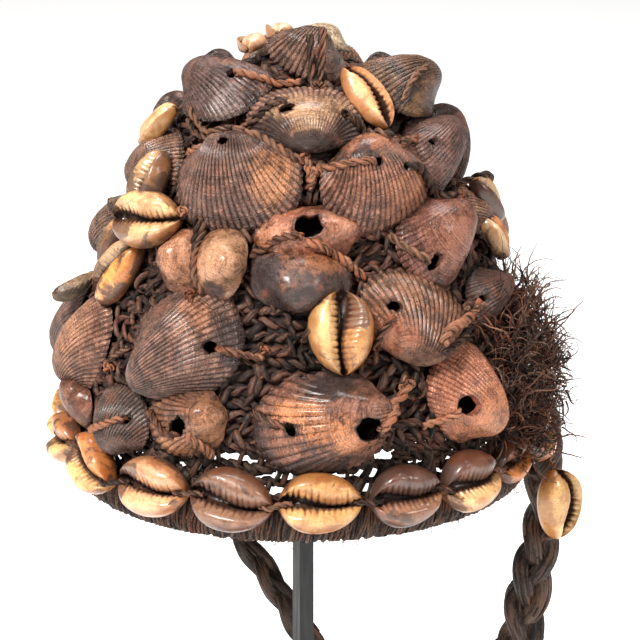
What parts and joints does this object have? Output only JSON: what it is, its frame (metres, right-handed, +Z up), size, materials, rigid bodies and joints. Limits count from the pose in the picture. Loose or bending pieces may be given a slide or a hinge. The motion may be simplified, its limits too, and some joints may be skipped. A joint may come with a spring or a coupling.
{
  "type": "shell hat on display stand",
  "caption": "Small netted fibre cap covered all over in tied bivalve shells and cowries, with a cowrie rim, a fibre tuft and a looped chin strap, on a square rod stand.",
  "frame": {"origin": "middle of the base plate's underside, under the rod", "axes": "+Z up, the hat's front faces -Y, +X is the side with the fibre tuft"},
  "size_m": [0.1723, 0.1641, 0.336],
  "materials": {
    "knotted_fibre": "rough dark plant-fibre cord",
    "loose_fibre": "matt loose curled fibre",
    "ark_shell": "ribbed shell with rubbed, grimy patina",
    "smooth_shell": "handled to a dull polish",
    "cowrie_shell": "glossy yellowed porcelain-like shell",
    "blackened_steel": "blackened satin steel"
  },
  "bodies": {
    "root": {"cap": "knotted_fibre", "openwork_band": "knotted_fibre", "rim_ring": "knotted_fibre", "chin_strap": "knotted_fibre", "fibre_tuft": "loose_fibre", "valve_fan": "ark_shell", "valve_crown_top": "ark_shell", "valve_crown_left": "ark_shell", "valve_crown_right": "ark_shell", "valve_crown_front": "ark_shell", "valve_front_left": "ark_shell", "valve_front_right": "ark_shell", "valve_low_front": "ark_shell", "valve_low_right": "ark_shell", "valve_right_mid": "ark_shell", "valve_low_left": "ark_shell", "valve_broken_upper": "ark_shell", "valve_smooth_front": "ark_shell", "valve_left_fine": "ark_shell", "valve_low_broken": "ark_shell", "valve_right_dark": "ark_shell", "valve_left_ribbed": "ark_shell", "valve_left_edge": "ark_shell", "valve_right_small": "ark_shell", "valve_left_smooth": "ark_shell", "valve_right_ribbed": "ark_shell", "valve_crown_peak": "ark_shell", "valve_crown_dark": "ark_shell", "valve_crown_back": "ark_shell", "valve_right_back": "ark_shell", "shell_shard": "ark_shell", "shell_chip": "ark_shell", "nut_left": "smooth_shell", "nut_right": "smooth_shell", "back_shells_low_right": "ark_shell", "back_shells_low_left": "ark_shell", "back_shells_mid_right": "ark_shell", "back_shells_mid_left": "ark_shell", "back_shells_high": "ark_shell", "back_shells_crown": "ark_shell", "cowrie_front": "cowrie_shell", "cowrie_crown": "cowrie_shell", "cowrie_left": "cowrie_shell", "cowrie_left_low": "cowrie_shell", "cowrie_left_high": "cowrie_shell", "cowrie_left_peak": "cowrie_shell", "cowrie_left_back": "cowrie_shell", "cowrie_right_olive": "cowrie_shell", "cowrie_right_low": "cowrie_shell", "cowrie_top_left": "cowrie_shell", "cowrie_top_back": "cowrie_shell", "rim_cowries_left": "cowrie_shell", "rim_cowries_front": "cowrie_shell", "rim_cowries_right": "cowrie_shell", "rim_cowries_back_right": "cowrie_shell", "rim_cowries_back_left": "cowrie_shell", "strap_cowrie": "cowrie_shell", "stand_base": "blackened_steel", "stand_rod": "blackened_steel", "stand_head": "blackened_steel"}
  },
  "joints": []
}
